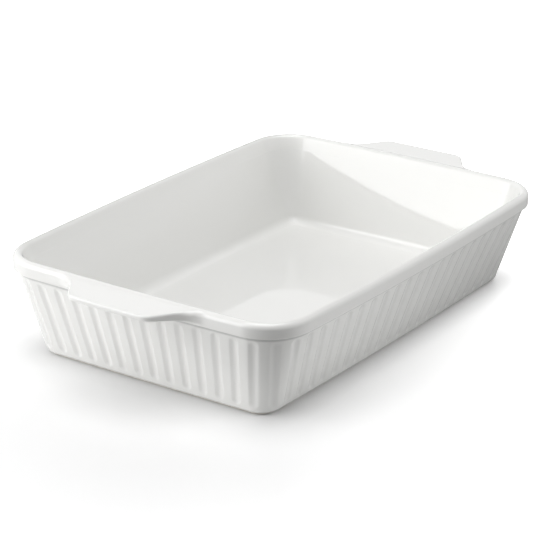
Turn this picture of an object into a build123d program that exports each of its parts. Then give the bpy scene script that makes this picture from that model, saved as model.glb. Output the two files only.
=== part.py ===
from build123d import *
from math import atan, cos, degrees, pi, radians, sin, tan
import os

# Lasagna dish: a deep rectangular baking dish of white glazed porcelain, with a
# rolled rim band, a tab handle on each short end and fluted, drafted walls.
# Millimetres. +X runs along the long side, +Y along the short side, +Z up.
# The origin is on the table, under the middle of the dish.

# Overall sizes, over the outside of the rim band
rim_length = 330.0
rim_width = 235.0
dish_height = 70.0

# Rim band: a rolled bead that stands on the wall top and overhangs the wall
band_height = 10.0
band_overhang = 2.4
crest_width = 6.4
crest_outer_radius = 4.0
crest_inner_edge = 1.4
band_lip_edge = 0.9

# Outside of the wall where it stands on the foot ring
wall_foot_length = 294.0
wall_foot_width = 188.0
wall_foot_corner = 13.5
heel_radius = 3.5
heel_bands = 3

# Rounding of the wall's corners just under the band
wall_top_corner = 30.0

# How far the middle of each side bulges past a straight line between its corners
long_bow_at_top = 3.8
long_bow_at_foot = 2.2
short_bow_at_top = 2.2
short_bow_at_foot = 0.6

# Wall, measured level, and floor with the round edge inside
wall_thickness = 6.8
floor_thickness = 5.5
floor_radius = 8.0
floor_bands = 5

# Foot ring, wiped clean of glaze
foot_height = 1.5
foot_inset = 3.0
foot_width = 6.0
foot_edge = 0.4

# Flutes: shallow upright grooves whose ends run out to the wall's face
flute_count = 74
flute_width = 6.8
flute_depth = 0.95
flute_run_out = 2.0
flute_gap_under_band = 3.2
flute_gap_over_foot = 4.0

# Tab handles, one on each short end
handle_reach = 23.5
handle_drop = 0.8
handle_tip_half_width = 31.0
handle_neck_half_width = 48.5
handle_neck_inset = 1.4
handle_neck_radius = 26.0
handle_tip_radius = 9.0
handle_tip_thickness = 4.2
handle_root_thickness = 7.4
handle_edge = 1.3
handle_root_in_rim = 4.0

# Heights and sizes that follow from those above
wall_top = dish_height - band_height
wall_top_length = rim_length - 2 * band_overhang
wall_top_width = rim_width - 2 * band_overhang
floor_top = foot_height + floor_thickness


def drafted(foot_size, top_size, height):
    """Size at a height, on the straight draft from the wall's foot to its top."""
    height_share = (height - foot_height) / (wall_top - foot_height)
    return foot_size + (top_size - foot_size) * height_share


def plan(height, inset=0):
    """Plan of the dish at a height, drawn in from the outside of its wall."""
    half_length = drafted(wall_foot_length, wall_top_length, height) / 2 - inset
    half_width = drafted(wall_foot_width, wall_top_width, height) / 2 - inset
    corner_x = half_length - drafted(short_bow_at_foot, short_bow_at_top, height)
    corner_y = half_width - drafted(long_bow_at_foot, long_bow_at_top, height)
    corner = drafted(wall_foot_corner, wall_top_corner, height) - inset
    with BuildSketch(Plane.XY.offset(height)) as outline:
        with BuildLine():
            ThreePointArc((-corner_x, -corner_y), (0, -half_width), (corner_x, -corner_y))
            ThreePointArc((corner_x, -corner_y), (half_length, 0), (corner_x, corner_y))
            ThreePointArc((corner_x, corner_y), (0, half_width), (-corner_x, corner_y))
            ThreePointArc((-corner_x, corner_y), (-half_length, 0), (-corner_x, -corner_y))
        make_face()
        fillet(outline.vertices(), radius=corner)
    return outline.sketch


# Slope of the walls from upright, on the short ends, on the long sides and on average
wall_rise = wall_top - foot_height
end_draft = degrees(atan((wall_top_length - wall_foot_length) / 2 / wall_rise))
side_draft = degrees(atan((wall_top_width - wall_foot_width) / 2 / wall_rise))
mean_draft = radians((end_draft + side_draft) / 2)


def round_edge(level, inset, radius, bands):
    """Plans up a round edge, from the flat under it to where it meets the drafted wall."""
    plans = []
    for step in range(bands + 1):
        turn = (pi / 2 - mean_draft) * step / bands
        drawn_in = radius * (1 - sin(turn + mean_draft)) / cos(mean_draft)
        plans.append(plan(level + radius * (1 - cos(turn)), inset + drawn_in))
    return plans


# Inside of the basin: the wall down to a floor with a round edge
floor_plans = round_edge(floor_top, wall_thickness, floor_radius, floor_bands)
with BuildPart() as hollow:
    loft(sections=floor_plans + [plan(wall_top, wall_thickness)], ruled=True)

# Flute cutter: a round bar that dips under the wall's face by the flute's depth. Its
# ends are cut aslant, so the groove runs out to the face at both ends. Local -X is inward.
flute_low = foot_height + flute_gap_over_foot
flute_high = wall_top - flute_gap_under_band
flute_half_length = (flute_high - flute_low) / 2
bar_radius = (flute_width**2 / 4 + flute_depth**2) / (2 * flute_depth)

with BuildPart() as flute_bar:
    with BuildSketch(Plane.XZ.offset(-2 * bar_radius)):
        with BuildLine():
            Polyline(
                (-bar_radius - flute_depth, 2 * flute_run_out - flute_half_length),
                (-bar_radius + 2 * flute_depth, -flute_run_out - flute_half_length),
                (2 * bar_radius, -flute_run_out - flute_half_length),
                (2 * bar_radius, flute_run_out + flute_half_length),
                (-bar_radius + 2 * flute_depth, flute_run_out + flute_half_length),
                (-bar_radius - flute_depth, flute_half_length - 2 * flute_run_out),
                close=True,
            )
        make_face()
    extrude(amount=4 * bar_radius)
    Cylinder(bar_radius, 2 * (flute_half_length + flute_run_out), mode=Mode.INTERSECT)


def spots_round_wall(height):
    """One spot for each flute round the wall at a height, with the wall's direction there."""
    ring = plan(height).face().outer_wire()
    end_middle = (-drafted(wall_foot_length, wall_top_length, height) / 2, 0, height)
    start_share = ring.param_at_point(end_middle)
    shares = [start_share + (step + 0.5) / flute_count for step in range(flute_count)]
    return [(ring.position_at(share % 1), ring.tangent_at(share % 1)) for share in shares]


def flute_seat(low_spot, middle_spot, high_spot):
    """Seat of a flute's cutter: along the wall, square to it, half way into its curve."""
    along = high_spot[0] - low_spot[0]
    outward = middle_spot[1].cross(along).normalized()
    on_wall = (low_spot[0] + high_spot[0]) / 4 + middle_spot[0] / 2
    return Plane(on_wall + outward * (bar_radius - flute_depth), outward, along)


flute_middle = (flute_low + flute_high) / 2
spot_levels = [spots_round_wall(height) for height in (flute_low, flute_middle, flute_high)]
flute_seats = [flute_seat(*spots) for spots in zip(*spot_levels)]

# Basin: the floor and the drafted walls in one shell, open at the top and fluted outside
heel_plans = round_edge(foot_height, 0, heel_radius, heel_bands)
with BuildPart() as basin:
    loft(sections=heel_plans + [plan(wall_top)], ruled=True)
    add(hollow, mode=Mode.SUBTRACT)
    with Locations(*flute_seats):
        add(flute_bar, mode=Mode.SUBTRACT)
basin.part.label = "basin"

# Rim band: one rolled section carried round the wall top. Its crest is round outside and
# eased inside, and the lip that hangs over the wall has its sharp edge taken off.
rim_path = plan(wall_top).face().outer_wire()
rim_tangent = rim_path.tangent_at(0)
rim_outward = rim_tangent.cross(Vector(0, 0, 1))
with BuildPart() as rim:
    with BuildSketch(Plane(rim_path.position_at(0), rim_outward, -rim_tangent)) as rim_section:
        with BuildLine():
            Polyline(
                (-wall_thickness, 0),
                (band_overhang, 0),
                (band_overhang, band_height),
                (band_overhang - crest_width, band_height),
                close=True,
            )
        make_face()
        fillet(rim_section.vertices().group_by(Axis.Y)[-1].sort_by(Axis.X)[-1], crest_outer_radius)
        chamfer(rim_section.vertices().group_by(Axis.Y)[-1].sort_by(Axis.X)[0], crest_inner_edge)
        chamfer(rim_section.vertices().group_by(Axis.Y)[0].sort_by(Axis.X)[-1], band_lip_edge)
    sweep(path=rim_path)
rim.part.label = "rim"

# Tab handles: drawn in plan, tapered underneath, and fitted to the face of the rim
rim_end = rim_length / 2
handle_tip = rim_end + handle_reach
handle_top = dish_height - handle_drop
handle_neck = rim_end - handle_neck_inset
handle_root = rim_end - handle_root_in_rim
handle_slant = atan((handle_neck_half_width - handle_tip_half_width) / (handle_tip - handle_neck))
handle_neck_run = handle_neck_radius * tan((pi / 2 - handle_slant) / 2)
handle_root_half_width = handle_neck_half_width + handle_neck_run + handle_neck_inset
with BuildPart() as handle_right:
    with BuildSketch(Plane.XY.offset(handle_top)) as tab:
        with BuildLine():
            Polyline(
                (handle_root, -handle_root_half_width),
                (handle_neck, -handle_root_half_width),
                (handle_neck, -handle_neck_half_width),
                (handle_tip, -handle_tip_half_width),
                (handle_tip, handle_tip_half_width),
                (handle_neck, handle_neck_half_width),
                (handle_neck, handle_root_half_width),
                (handle_root, handle_root_half_width),
                close=True,
            )
        make_face()
        fillet(tab.vertices().group_by(Axis.X)[-1], radius=handle_tip_radius)
        neck_corners = tab.vertices().group_by(Axis.X)[1].sort_by(Axis.Y)[1:-1]
        fillet(neck_corners, radius=handle_neck_radius)
    extrude(amount=-handle_root_thickness)
    with BuildSketch(Plane.XZ):
        with BuildLine():
            Polyline(
                (handle_root, handle_top),
                (handle_root, handle_top - handle_root_thickness),
                (rim_end, handle_top - handle_root_thickness),
                (handle_tip, handle_top - handle_tip_thickness),
                (handle_tip, handle_top),
                close=True,
            )
        make_face()
    extrude(amount=handle_root_half_width, both=True, mode=Mode.INTERSECT)
    open_edges = handle_right.edges().filter_by_position(Axis.X, handle_neck, handle_tip)
    chamfer(open_edges.group_by(Axis.Z)[-1], handle_edge)
    add(rim, mode=Mode.SUBTRACT)
handle_right.part.label = "handle_right"

with BuildPart() as handle_left:
    mirror(handle_right.part, about=Plane.YZ)
handle_left.part.label = "handle_left"

# Foot ring: the low bare band under the floor on which the dish stands
with BuildPart() as foot_ring:
    with BuildSketch(Plane.XY.offset(foot_height)):
        add(plan(foot_height, foot_inset))
        add(plan(foot_height, foot_inset + foot_width), mode=Mode.SUBTRACT)
    extrude(amount=-foot_height)
    chamfer(foot_ring.edges().group_by(Axis.Z)[0], foot_edge)
foot_ring.part.label = "foot_ring"

os.makedirs("parts", exist_ok=True)
for piece in (basin, rim, handle_right, handle_left, foot_ring):
    export_step(piece.part, f"parts/{piece.part.label}.step")
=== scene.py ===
import bpy
import numpy as np
from math import atan2, cos, pi, radians, sin, sqrt, tan
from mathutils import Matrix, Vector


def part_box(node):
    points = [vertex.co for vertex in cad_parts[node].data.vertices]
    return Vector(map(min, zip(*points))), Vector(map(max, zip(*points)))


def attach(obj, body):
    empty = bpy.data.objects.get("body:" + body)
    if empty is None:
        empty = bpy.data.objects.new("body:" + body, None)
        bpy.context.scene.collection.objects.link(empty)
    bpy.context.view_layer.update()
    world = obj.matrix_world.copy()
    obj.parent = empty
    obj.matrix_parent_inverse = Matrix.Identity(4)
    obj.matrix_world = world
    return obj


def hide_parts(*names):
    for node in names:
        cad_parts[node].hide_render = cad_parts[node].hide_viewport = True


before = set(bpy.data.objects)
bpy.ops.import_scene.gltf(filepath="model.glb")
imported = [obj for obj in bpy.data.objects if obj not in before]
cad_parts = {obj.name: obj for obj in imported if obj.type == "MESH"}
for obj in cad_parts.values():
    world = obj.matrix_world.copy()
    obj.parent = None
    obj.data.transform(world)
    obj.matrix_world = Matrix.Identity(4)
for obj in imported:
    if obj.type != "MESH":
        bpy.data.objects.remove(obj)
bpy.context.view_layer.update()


# Basin
# The body of the dish: one slip-cast porcelain shell with drafted walls, fluted by the
# ribs of its plaster mould, fired and glazed white inside and out.

mm = 0.001
basin_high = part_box("basin")[1]
rim_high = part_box("rim")[1]
foot_low, foot_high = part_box("foot_ring")

# Heights, from the table up
table_level = foot_low.z
shell_foot = foot_high.z
flute_low = 5.3 * mm
floor_level = 7.0 * mm
flute_high = 57.0 * mm
wall_top = basin_high.z
dish_top = rim_high.z
wall_rise = wall_top - shell_foot

# Plan of the wall's outside. Pairs are at its foot and at its top.
half_length = (147 * mm, basin_high.x)
half_width = (94 * mm, basin_high.y)
end_bow = (0.6 * mm, 2.2 * mm)
side_bow = (2.2 * mm, 3.8 * mm)
wall_corner = (13.5 * mm, 30 * mm)
smallest_corner = 0.5 * mm

# Wall and its round edges, outside at the heel and inside at the floor
wall_draft = 17.4
wall_thickness = 6.8 * mm
wall_swell = 1.1 * mm
swell_curve = 0.35
heel_radius = 3.5 * mm
heel_steps = 6
floor_radius = 8.0 * mm
floor_steps = 12
heel_flat = 12 * mm
floor_flat = 6 * mm

# Flutes, and how finely the mesh follows them
flute_count = 74
flute_width = 7.0 * mm
flute_depth = 0.8 * mm
flute_roundness = 1.2
stations_per_flute = 16
stations = flute_count * stations_per_flute
flute_end_rows = 8
flute_middle_shares = np.linspace(0.12, 0.88, 9)
inner_rows = 9

# Glaze colours, and the painted shade in the seam under the band and in the flutes
seam_heights = [57.5 * mm, 58.0 * mm, 58.5 * mm, 59.0 * mm, wall_top]
seam_painted_shade = [0.3, 0.9, 1, 1, 1]
flute_painted_shade = 0.12
glaze_white = (0.79, 0.79, 0.772, 1)
glaze_pale = (0.805, 0.805, 0.79, 1)
painted_shade_colour = (0.55, 0.55, 0.54, 1)
shade_name = "painted_shade"

# Mesh clean-up
merge_distance = 0.001 * mm
smooth_angle = 42
length_slack = 1e-12


def drafted(at_foot, at_top, height):
    """A size of the wall at a height, on the straight draft from its foot to its top."""
    return at_foot + (at_top - at_foot) * (height - shell_foot) / wall_rise


def round_corner_centre(end_centre, end_reach, side_centre, side_reach):
    """Centre of the corner's round, at set distances from the centres of both bows."""
    between = side_centre - end_centre
    apart = np.linalg.norm(between)
    between = between / apart
    square = np.array((-between[1], between[0]))
    along = (end_reach**2 - side_reach**2 + apart**2) / (2 * apart)
    across = sqrt(end_reach**2 - along**2)
    middle = end_centre + along * between
    return max((middle + across * square, middle - across * square), key=lambda spot: spot[0])


def quarter_arcs(height, inset):
    """End bow, corner and side bow of a quarter of the plan, as centre, radius and turns."""
    length = drafted(*half_length, height) - inset
    width = drafted(*half_width, height) - inset
    corner = max(drafted(*wall_corner, height) - inset, smallest_corner)
    bow_x = drafted(*end_bow, height)
    bow_y = drafted(*side_bow, height)
    end_radius = ((width - bow_y) ** 2 + bow_x**2) / (2 * bow_x)
    side_radius = ((length - bow_x) ** 2 + bow_y**2) / (2 * bow_y)
    end_centre = np.array((length - end_radius, 0))
    side_centre = np.array((0, width - side_radius))
    centre = round_corner_centre(end_centre, end_radius - corner, side_centre, side_radius - corner)
    end_turn = atan2(*(centre - end_centre)[::-1])
    side_turn = atan2(*(centre - side_centre)[::-1])
    return (
        (end_centre, end_radius, 0, end_turn),
        (centre, corner, end_turn, side_turn),
        (side_centre, side_radius, side_turn, pi / 2),
    )


def outline(height, inset, count):
    """Points and outward directions at equal steps round the dish, from the -X end's middle,
    with the length all round."""
    arcs = quarter_arcs(height, inset)
    lengths = [radius * (stop - start) for _, radius, start, stop in arcs]
    quarter = sum(lengths)
    share = np.arange(count) / count * 4
    lap = np.floor(share).astype(int)
    run = np.where(lap % 2 == 0, share - lap, 1 - share + lap) * quarter
    points = np.zeros((count, 2))
    normals = np.zeros((count, 2))
    begun = 0
    for (centre, radius, start, _), length in zip(arcs, lengths):
        here = (run >= begun - length_slack) & (run <= begun + length + length_slack)
        turn = start + (run[here] - begun) / radius
        directions = np.stack((np.cos(turn), np.sin(turn)), 1)
        points[here] = centre + radius * directions
        normals[here] = directions
        begun += length
    signs = np.array(((-1, -1), (1, -1), (1, 1), (-1, 1)))[lap]
    return points * signs, normals * signs, 4 * quarter


def wrapped(name, rows, end_caps=False, painted_shades=None):
    """A grid wrapped round the dish. Each row holds one place for every station."""
    columns = len(rows[0])
    bpy.ops.object.select_all(action="DESELECT")
    bpy.ops.mesh.primitive_grid_add(x_subdivisions=columns, y_subdivisions=len(rows) - 1, size=1)
    piece = bpy.context.object
    piece.name = name
    piece.data.name = name
    places = np.concatenate([np.vstack((row, row[:1])) for row in rows])
    piece.data.vertices.foreach_set("co", places.ravel())
    # Painted shade, kept on the points for the glaze to read
    if painted_shades is not None:
        closed_shades = np.concatenate([np.append(row, row[0]) for row in painted_shades])
        shaded = piece.data.attributes.new(shade_name, "FLOAT", "POINT")
        shaded.data.foreach_set("value", closed_shades)
    piece.data.update()
    bpy.ops.object.mode_set(mode="EDIT")
    bpy.ops.mesh.select_all(action="SELECT")
    bpy.ops.mesh.remove_doubles(threshold=merge_distance)
    bpy.ops.mesh.select_all(action="DESELECT")
    if end_caps:
        bpy.ops.mesh.select_mode(type="EDGE")
        bpy.ops.mesh.select_non_manifold(extend=False)
        bpy.ops.mesh.fill_holes(sides=0)
        bpy.ops.mesh.select_mode(type="VERT")
    bpy.ops.mesh.select_all(action="SELECT")
    bpy.ops.mesh.normals_make_consistent(inside=False)
    bpy.ops.object.mode_set(mode="OBJECT")
    bpy.ops.object.transform_apply(location=True, rotation=True, scale=True)
    bpy.ops.object.shade_smooth_by_angle(angle=radians(smooth_angle))
    return piece


def flute_at(height, perimeter):
    """How far the flutes draw the wall in at a height, for each station."""
    pitch = perimeter / flute_count
    turn = np.arange(stations) / stations * flute_count
    aside = (turn - np.floor(turn) - 0.5) * pitch
    flute_half_width = flute_width / 2
    straight = (flute_high - flute_low) / 2 - flute_half_width
    beyond = max(abs(height - (flute_low + flute_high) / 2) - straight, 0)
    reach = np.clip(np.hypot(aside, beyond) / flute_half_width, 0, 1)
    return flute_depth * (1 - reach**2) ** flute_roundness


def shell_row(height, inset, fluted=False):
    """One row of the shell: the outline at a height, drawn in and, outside, fluted."""
    points, normals, perimeter = outline(height, inset, stations)
    if fluted:
        points = points - normals * flute_at(height, perimeter)[:, None]
    return np.column_stack((points, np.full(stations, height)))


def round_edge(level, inset, radius, steps):
    """Heights and insets up a round edge, from the flat under it to the drafted wall."""
    draft = radians(wall_draft)
    for step in range(steps + 1):
        turn = (pi / 2 - draft) * step / steps
        drawn_in = radius * (1 - sin(turn + draft)) / cos(draft)
        yield level + radius * (1 - cos(turn)), inset + drawn_in


heel = list(round_edge(shell_foot, 0, heel_radius, heel_steps))
floor_edge = list(round_edge(floor_level, wall_thickness + wall_swell, floor_radius, floor_steps))
edge_top = floor_edge[-1][0]


def inner_row(height):
    """One row of the inside. The wall is cast a little thicker towards the floor."""
    climb = (height - edge_top) / (wall_top - edge_top)
    return shell_row(height, wall_thickness + wall_swell * (1 - climb) * (1 + swell_curve * climb))


flute_end_run = np.linspace(0, flute_width / 2, flute_end_rows)
wall_heights = [flute_low + run for run in flute_end_run]
wall_heights += [flute_low + (flute_high - flute_low) * share for share in flute_middle_shares]
wall_heights += [flute_high - run for run in flute_end_run[::-1]]

# Rows of the shell: under the heel, up the outside, down the inside and onto the floor
rows = [shell_row(shell_foot, heel_flat)]
rows += [shell_row(height, inset) for height, inset in heel]
rows += [shell_row(height, 0, fluted=True) for height in wall_heights]
rows += [shell_row(height, 0) for height in seam_heights]
rows += [inner_row(height) for height in np.linspace(wall_top, edge_top, inner_rows)]
rows += [shell_row(height, inset) for height, inset in floor_edge[-2::-1]]
rows += [shell_row(floor_level, floor_edge[0][1] + floor_flat)]

# Painted shade on the same rows, in the flutes and in the seam under the band
flute_perimeter = outline((flute_low + flute_high) / 2, 0, stations)[2]
unshaded = np.zeros(stations)
painted_shades = [unshaded] * (1 + len(heel))
# Painted shade in the flutes, darkest where they are deepest
for height in wall_heights:
    painted_shades.append((flute_at(height, flute_perimeter) / flute_depth) ** 2 * flute_painted_shade)
# Painted shade in the seam just under the band
painted_shades += [np.full(stations, shade_share) for shade_share in seam_painted_shade]
painted_shades += [unshaded] * (len(rows) - len(painted_shades))
basin = wrapped("basin_shell", rows, end_caps=True, painted_shades=painted_shades)


def white_glaze():
    """White glaze: a glassy, faintly wavy skin, with painted shade in the flutes and under the band."""
    material = bpy.data.materials.new("white_glaze")
    material.use_nodes = True
    nodes, links = material.node_tree.nodes, material.node_tree.links
    shader = nodes["Principled BSDF"]
    shader.inputs["IOR"].default_value = 1.52
    place = nodes.new("ShaderNodeTexCoord")
    cloud = nodes.new("ShaderNodeTexNoise")
    cloud.inputs["Scale"].default_value = 14
    cloud.inputs["Detail"].default_value = 3
    links.new(place.outputs["Object"], cloud.inputs["Vector"])
    colour = nodes.new("ShaderNodeMix")
    colour.data_type = "RGBA"
    colour.inputs["A"].default_value = glaze_white
    colour.inputs["B"].default_value = glaze_pale
    links.new(cloud.outputs["Fac"], colour.inputs["Factor"])
    shade_share = nodes.new("ShaderNodeAttribute")
    shade_share.attribute_name = shade_name
    # Painted shade: a darker glaze colour mixed in, in the flutes and under the band
    shaded = nodes.new("ShaderNodeMix")
    shaded.data_type = "RGBA"
    shaded.inputs["B"].default_value = painted_shade_colour
    links.new(shade_share.outputs["Fac"], shaded.inputs["Factor"])
    links.new(colour.outputs["Result"], shaded.inputs["A"])
    links.new(shaded.outputs["Result"], shader.inputs["Base Color"])
    wave = nodes.new("ShaderNodeTexNoise")
    wave.inputs["Scale"].default_value = 32
    wave.inputs["Detail"].default_value = 1
    links.new(place.outputs["Object"], wave.inputs["Vector"])
    skin = nodes.new("ShaderNodeBump")
    skin.inputs["Strength"].default_value = 0.5
    skin.inputs["Distance"].default_value = 0.06 * mm
    links.new(wave.outputs["Fac"], skin.inputs["Height"])
    links.new(skin.outputs["Normal"], shader.inputs["Normal"])
    shine = nodes.new("ShaderNodeMapRange")
    shine.inputs["To Min"].default_value = 0.02
    shine.inputs["To Max"].default_value = 0.05
    links.new(cloud.outputs["Fac"], shine.inputs["Value"])
    links.new(shine.outputs["Result"], shader.inputs["Roughness"])
    return material


glaze = white_glaze()
basin.data.materials.clear()
basin.data.materials.append(glaze)
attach(basin, "root")
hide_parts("basin")


# Rim band with its two tab handles
# The rolled bead on the wall top and the flat tabs on the short ends, cast in one with
# the wall. The handles grow out of the bead's face, so each section shows both.

# Bead
band_overhang = rim_high.x - basin_high.x
band_height = dish_top - wall_top
crest_radius = 4.0 * mm
crest_inner_radius = 2.2 * mm
lip_radius = 0.7 * mm
inner_face_shares = (0, 0.3, 0.6)

# Handle in plan
handle_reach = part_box("handle_right")[1].x - rim_high.x
tip_half_width = 31 * mm
side_half_width = 47.5 * mm
tip_radius = 9 * mm
neck_radius = 24 * mm
handle_end_share = 0.9

# Handle in section, and the reach over which it grows out of the bead
handle_drop = 0.9 * mm
shoulder_inset = 2.2 * mm
shoulder_width = 4.6 * mm
tab_edge_radius = 1.8 * mm
tab_under_radius = 1.5 * mm
tab_root_radius = 2.2 * mm
tab_root_up = 62 * mm - wall_top
tab_tip_up = 65 * mm - wall_top
edge_grows_over = 8 * mm
drop_grows_over = 4 * mm
under_round_share = 0.4
root_flatness = 0.6

# Steps of the section's rounds and flats
crest_steps = 8
top_steps = 16
edge_steps = 9
under_steps = 7
slope_steps = 6
root_steps = 6
lip_steps = 5


def smooth(share):
    """Rises softly from 0 to 1."""
    share = min(max(share, 0), 1)
    return share * share * (3 - 2 * share)


def quarter_turn(steps, first=0):
    """Angles of a quarter turn in equal steps."""
    return [pi / 2 * step / steps for step in range(first, steps + 1)]


def tab_reach(aside):
    """How far the handle stands out of the band, and its side's slant, off its middle."""
    slant = atan2(side_half_width - tip_half_width, handle_reach)
    tip_run = tip_radius * tan((pi / 2 - slant) / 2)
    neck_run = neck_radius * tan((pi / 2 - slant) / 2)
    aside = abs(aside)
    tip_end = tip_half_width - tip_run
    tip_out = tip_half_width + tip_run * sin(slant)
    neck_in = side_half_width - neck_run * sin(slant)
    neck_end = side_half_width + neck_run
    if aside <= tip_end:
        return handle_reach, 1
    if aside <= tip_out:
        drop = aside - tip_end
        rest = sqrt(tip_radius**2 - drop**2)
        return handle_reach - tip_radius + rest, rest / tip_radius
    if aside <= neck_in:
        out = (side_half_width - aside) / tan(slant)
        return out, sin(slant)
    if aside < neck_end:
        drop = neck_end - aside
        rest = sqrt(max(neck_radius**2 - drop**2, 0))
        return neck_radius - rest, rest / neck_radius
    return 0, 1


def upper_line(reach, facing, slope):
    """Upper part of a section: inner face, crest, top and outer edge, as (out, up)."""
    line = []
    for share in inner_face_shares:
        line.append((-wall_thickness + slope * band_height * share, band_height * share))
    inner_out = -wall_thickness + slope * band_height
    for turn in quarter_turn(crest_steps):
        fall = crest_inner_radius * (1 - sin(turn))
        out = inner_out - slope * fall + crest_inner_radius * (1 - cos(turn))
        line.append((out, band_height - fall))
    grown = smooth(reach / edge_grows_over)
    edge_up = crest_radius + (tab_edge_radius - crest_radius) * grown
    edge_out = crest_radius + (tab_edge_radius / facing - crest_radius) * grown
    shoulder = handle_drop * smooth(reach / drop_grows_over)
    flat_start = inner_out + crest_inner_radius
    flat_end = band_overhang + reach - edge_out
    for step in range(1, top_steps + 1):
        out = flat_start + (flat_end - flat_start) * step / top_steps
        down = shoulder * smooth((out + shoulder_inset) / shoulder_width)
        line.append((out, band_height - down))
    top = line[-1][1]
    for turn in quarter_turn(edge_steps, first=1):
        line.append((flat_end + edge_out * sin(turn), top - edge_up * (1 - cos(turn))))
    return line


def under_line(reach, facing):
    """Lower part of a section: the handle's under edge, underside and root, and the lip."""
    tip = band_overhang + reach
    under = tab_root_up + (tab_tip_up - tab_root_up) * reach / handle_reach
    under_up = min(tab_under_radius, under_round_share * reach)
    under_out = min(tab_under_radius / facing, under_round_share * reach)
    root_round = min(tab_root_radius, under_round_share * reach)
    root_out = band_overhang + root_round
    line = []
    for turn in quarter_turn(under_steps):
        line.append((tip - under_out * (1 - cos(turn)), under + under_up * (1 - sin(turn))))
    for step in range(1, slope_steps + 1):
        share = step / slope_steps
        out = tip - under_out + (root_out - tip + under_out) * share
        line.append((out, under + (tab_root_up - under) * share))
    for turn in quarter_turn(root_steps, first=1):
        down = root_round * (1 - cos(turn)) * root_flatness
        line.append((root_out - root_round * sin(turn), tab_root_up - down))
    for turn in quarter_turn(lip_steps):
        line.append((band_overhang - lip_radius * (1 - cos(turn)), lip_radius * (1 - sin(turn))))
    line.append((-wall_thickness, 0))
    return line


# Slope of the inside, which the bead carries on, from the wall's ends, sides and corners
corner_spread = wall_corner[1] - wall_corner[0]
end_slope = (half_length[1] - half_length[0] - corner_spread) / wall_rise
side_slope = (half_width[1] - half_width[0] - corner_spread) / wall_rise
corner_slope = corner_spread / wall_rise
inner_flare = wall_swell * (1 + swell_curve) / (wall_top - edge_top)

path, facing_out, _ = outline(wall_top, 0, stations)
sections = []
for place, normal in zip(path, facing_out):
    slope = end_slope * abs(normal[0]) + side_slope * abs(normal[1]) + corner_slope + inner_flare
    on_end = abs(place[0]) > half_length[1] * handle_end_share
    reach, facing = tab_reach(place[1]) if on_end else (0, 1)
    line = upper_line(reach, facing, slope) + under_line(reach, facing)
    sections.append([(*(place + normal * out), wall_top + up) for out, up in line])
rim = wrapped("rim_bead", [np.array(row) for row in zip(*sections)])
rim.data.materials.clear()
rim.data.materials.append(glaze)
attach(rim, "root")
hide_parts("rim", "handle_left", "handle_right")


# Foot ring
# The low ring under the floor, wiped clean of glaze so the dish doesn't stick to the
# kiln shelf: bare, pale fired clay.

ring_inset = 3.0 * mm
ring_width = 6.0 * mm
ring_round = 0.5 * mm
ring_steps = 4
ring_stations = stations // 2
clay_dark = (0.66, 0.63, 0.58, 1)
clay_pale = (0.74, 0.71, 0.66, 1)

# Section of the ring, from its outer top edge down and in, as (inset, height)
ring_line = [(ring_inset, shell_foot)]
for turn in quarter_turn(ring_steps):
    inset = ring_inset + ring_round * (1 - cos(turn))
    ring_line.append((inset, table_level + ring_round * (1 - sin(turn))))
for turn in quarter_turn(ring_steps):
    inset = ring_inset + ring_width - ring_round * (1 - sin(turn))
    ring_line.append((inset, table_level + ring_round * (1 - cos(turn))))
ring_line.append((ring_inset + ring_width, shell_foot))


def ring_row(inset, height):
    """One row of the ring, drawn in from the foot of the wall."""
    points = outline(shell_foot, inset, ring_stations)[0]
    return np.column_stack((points, np.full(ring_stations, height)))


def bare_clay():
    """Fired clay without glaze: pale, matt and finely grained."""
    material = bpy.data.materials.new("bare_clay")
    material.use_nodes = True
    nodes, links = material.node_tree.nodes, material.node_tree.links
    shader = nodes["Principled BSDF"]
    shader.inputs["Roughness"].default_value = 0.75
    place = nodes.new("ShaderNodeTexCoord")
    grain = nodes.new("ShaderNodeTexNoise")
    grain.inputs["Scale"].default_value = 900
    links.new(place.outputs["Object"], grain.inputs["Vector"])
    colour = nodes.new("ShaderNodeMix")
    colour.data_type = "RGBA"
    colour.inputs["A"].default_value = clay_dark
    colour.inputs["B"].default_value = clay_pale
    links.new(grain.outputs["Fac"], colour.inputs["Factor"])
    links.new(colour.outputs["Result"], shader.inputs["Base Color"])
    return material


foot_ring = wrapped("foot_ring_bare", [ring_row(*spot) for spot in ring_line + ring_line[:1]])
foot_ring.data.materials.clear()
foot_ring.data.materials.append(bare_clay())
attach(foot_ring, "root")
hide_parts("foot_ring")


# Floor
# A white sheet of paper under and behind the dish. The dish is lit by paper with painted shade on
# the sides away from the key lamp. To the camera the paper glows white, and it keeps the shadow.

paper_size = 12
paper_seen = (0.75, 0.75, 0.75, 1)
paper_roughness = 0.4

# Painted shade on the paper, as the dish sees it: where it lies, and how bright the paper still is
# there
right_span = (-120 * mm, 180 * mm)
right_shade_brightness = 0.48
front_span = (120 * mm, -120 * mm)
front_shade_brightness = 0.94
far_front = (-0.829, -0.559, 0)
far_front_span = (0.78, 0.96)
far_front_start = (200 * mm, 340 * mm)
far_front_shade_brightness = 0.08
near_corner = (-230 * mm, -150 * mm, 0)
near_corner_span = (30 * mm, 110 * mm)
near_corner_shade_brightness = 0.4

# Glow of the paper, which fades towards the dish and close to its foot: a painted shadow round the
# dish
glow_middle = (-200 * mm, -30 * mm, 0)
glow_span = (0, 600 * mm)
least_glow = 0.12
foot_shade_reach = 20 * mm


def fading(tree, value, span, first, last):
    """Adds a soft step from one value to another over a span."""
    step = tree.nodes.new("ShaderNodeMapRange")
    step.interpolation_type = "SMOOTHSTEP"
    step.inputs["From Min"].default_value = span[0]
    step.inputs["From Max"].default_value = span[1]
    step.inputs["To Min"].default_value = first
    step.inputs["To Max"].default_value = last
    tree.links.new(value, step.inputs["Value"])
    return step.outputs["Result"]


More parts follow.
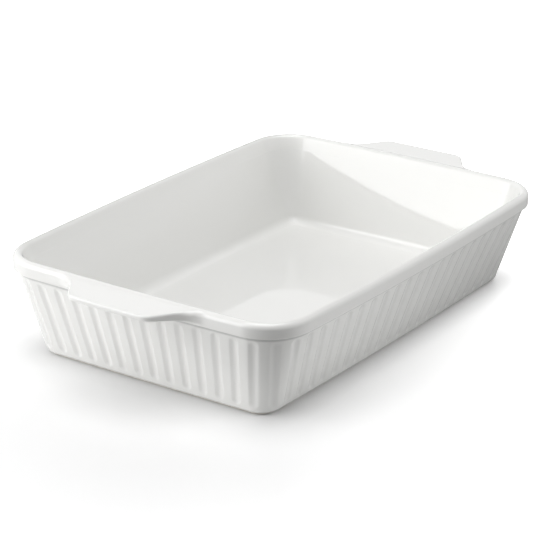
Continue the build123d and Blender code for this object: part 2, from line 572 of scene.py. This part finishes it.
def product(tree, first, second):
    """Adds the product of two values."""
    times = tree.nodes.new("ShaderNodeMath")
    times.operation = "MULTIPLY"
    tree.links.new(first, times.inputs[0])
    tree.links.new(second, times.inputs[1])
    return times.outputs["Value"]


def distance_from(tree, place, spot):
    """Adds the distance of a place from a spot."""
    apart = tree.nodes.new("ShaderNodeVectorMath")
    apart.operation = "DISTANCE"
    apart.inputs[1].default_value = spot
    tree.links.new(place, apart.inputs[0])
    return apart.outputs["Value"]


def closeness_to(tree, place, direction):
    """Adds how nearly a place lies in a direction from the dish, 1 where it does."""
    towards = tree.nodes.new("ShaderNodeVectorMath")
    towards.operation = "NORMALIZE"
    tree.links.new(place, towards.inputs[0])
    closeness = tree.nodes.new("ShaderNodeVectorMath")
    closeness.operation = "DOT_PRODUCT"
    closeness.inputs[1].default_value = direction
    tree.links.new(towards.outputs["Vector"], closeness.inputs[0])
    return closeness.outputs["Value"]


def paper_painted_shade(tree, place):
    """Adds the paper's colour as it lights the dish: white, with painted shade to the front and
    right.
    """
    axes = tree.nodes.new("ShaderNodeSeparateXYZ")
    tree.links.new(place, axes.inputs["Vector"])
    right = fading(tree, axes.outputs["X"], right_span, 1, right_shade_brightness)
    front = fading(tree, axes.outputs["Y"], front_span, 1, front_shade_brightness)
    in_wedge = fading(tree, closeness_to(tree, place, far_front), far_front_span, 0, 1)
    beyond = fading(tree, distance_from(tree, place, (0, 0, 0)), far_front_start, 0, 1)
    wedge = fading(tree, product(tree, in_wedge, beyond), (0, 1), 1, far_front_shade_brightness)
    from_corner = distance_from(tree, place, near_corner)
    corner = fading(tree, from_corner, near_corner_span, near_corner_shade_brightness, 1)
    return product(tree, product(tree, right, front), product(tree, wedge, corner))


def white_paper():
    """White paper: with painted shade to the dish where it lies in shade, and glowing to the camera.
    """
    material = bpy.data.materials.new("paper_white")
    material.use_nodes = True
    tree = material.node_tree
    shader = tree.nodes["Principled BSDF"]
    shader.inputs["Roughness"].default_value = paper_roughness
    shader.inputs["Emission Color"].default_value = (1, 1, 1, 1)
    place = tree.nodes.new("ShaderNodeTexCoord").outputs["Object"]
    to_camera = tree.nodes.new("ShaderNodeLightPath").outputs["Is Camera Ray"]
    colour = tree.nodes.new("ShaderNodeMix")
    colour.data_type = "RGBA"
    colour.inputs["B"].default_value = paper_seen
    tree.links.new(to_camera, colour.inputs["Factor"])
    # Painted shade on the paper, for the light it throws onto the dish
    tree.links.new(paper_painted_shade(tree, place), colour.inputs["A"])
    tree.links.new(colour.outputs["Result"], shader.inputs["Base Color"])
    openness = tree.nodes.new("ShaderNodeAmbientOcclusion")
    openness.inputs["Distance"].default_value = foot_shade_reach
    # Painted shadow: the glow fades towards the dish and, by the occlusion, close to its foot
    glow = fading(tree, distance_from(tree, place, glow_middle), glow_span, least_glow, 1)
    open_glow = product(tree, glow, openness.outputs["AO"])
    tree.links.new(product(tree, open_glow, to_camera), shader.inputs["Emission Strength"])
    return material


bpy.ops.object.select_all(action="DESELECT")
bpy.ops.mesh.primitive_plane_add(size=paper_size, location=(0, 0, table_level))
paper = bpy.context.object
paper.name = "paper"
paper.data.materials.append(white_paper())


# Backdrop and lamps
# A white surround, shown as it is to the camera and in the glaze but nearly dark as a light,
# and five soft lamps. The tall key on the left draws the bright wedge in the far end's glaze.

surround_white = (1, 1, 1, 1)
surround_light = 0.02


def white_surround():
    """A world that is white to the camera and in reflections, and nearly dark as a light."""
    world = bpy.data.worlds.new("studio")
    world.use_nodes = True
    nodes, links = world.node_tree.nodes, world.node_tree.links
    dim = nodes["Background"]
    dim.inputs["Color"].default_value = surround_white
    dim.inputs["Strength"].default_value = surround_light
    white = nodes.new("ShaderNodeBackground")
    white.inputs["Color"].default_value = surround_white
    white.inputs["Strength"].default_value = 1
    ray = nodes.new("ShaderNodeLightPath")
    direct = nodes.new("ShaderNodeMath")
    direct.operation = "ADD"
    links.new(ray.outputs["Is Camera Ray"], direct.inputs[0])
    links.new(ray.outputs["Is Glossy Ray"], direct.inputs[1])
    shown = nodes.new("ShaderNodeMath")
    shown.operation = "ADD"
    shown.use_clamp = True
    links.new(direct.outputs["Value"], shown.inputs[0])
    links.new(ray.outputs["Is Transmission Ray"], shown.inputs[1])
    pick = nodes.new("ShaderNodeMixShader")
    links.new(shown.outputs["Value"], pick.inputs["Fac"])
    links.new(dim.outputs["Background"], pick.inputs[1])
    links.new(white.outputs["Background"], pick.inputs[2])
    links.new(pick.outputs["Shader"], nodes["World Output"].inputs["Surface"])
    return world


def softbox(name, heading, lift, distance, width, height, brightness):
    """A flat soft lamp that faces the dish. Heading runs from +X to +Y, lift up from level."""
    turn, rise = radians(heading), radians(lift)
    level = distance * cos(rise)
    bpy.ops.object.light_add(
        type="AREA",
        location=(level * cos(turn), level * sin(turn), distance * sin(rise)),
        rotation=(pi / 2 - rise, 0, turn + pi / 2),
    )
    lamp = bpy.context.object
    lamp.name = name
    lamp.data.shape = "RECTANGLE"
    lamp.data.size = width
    lamp.data.size_y = height
    lamp.data.energy = brightness * pi * width * height
    return lamp


bpy.context.scene.world = white_surround()
softbox("key", heading=138, lift=21, distance=2.0, width=1.8, height=1.7, brightness=3.35)
fills = [
    softbox("fill_high", heading=280, lift=42, distance=1.4, width=0.8, height=0.6, brightness=1.45),
    softbox("fill_low", heading=300, lift=15, distance=2.0, width=1.2, height=0.7, brightness=4.0),
]
softbox("top", heading=180, lift=82, distance=1.4, width=1.1, height=1.1, brightness=3.6)
softbox("back", heading=20, lift=28, distance=2.5, width=2.0, height=1.6, brightness=0.3)

# The fills stay out of the glaze's reflections
for fill in fills:
    fill.visible_glossy = False


# Camera
# A long lens a little above the dish, off its near left corner, so that the short end with
# its handle and one long side show, and most of the inside.

camera_place = (-1196.5 * mm, -832.2 * mm, 606.7 * mm)
camera_heading = 54.916
camera_dip = 21.519
lens_length = 152.13
sensor_width = 36
nearest_seen = 0.05
farthest_seen = 50
bpy.ops.object.camera_add(
    location=camera_place,
    rotation=(radians(90 - camera_dip), 0, -radians(camera_heading)),
)
camera = bpy.context.object
camera.data.sensor_width = sensor_width
camera.data.lens = lens_length
camera.data.clip_start = nearest_seen
camera.data.clip_end = farthest_seen
bpy.context.scene.camera = camera
bpy.context.scene.view_settings.view_transform = "Standard"
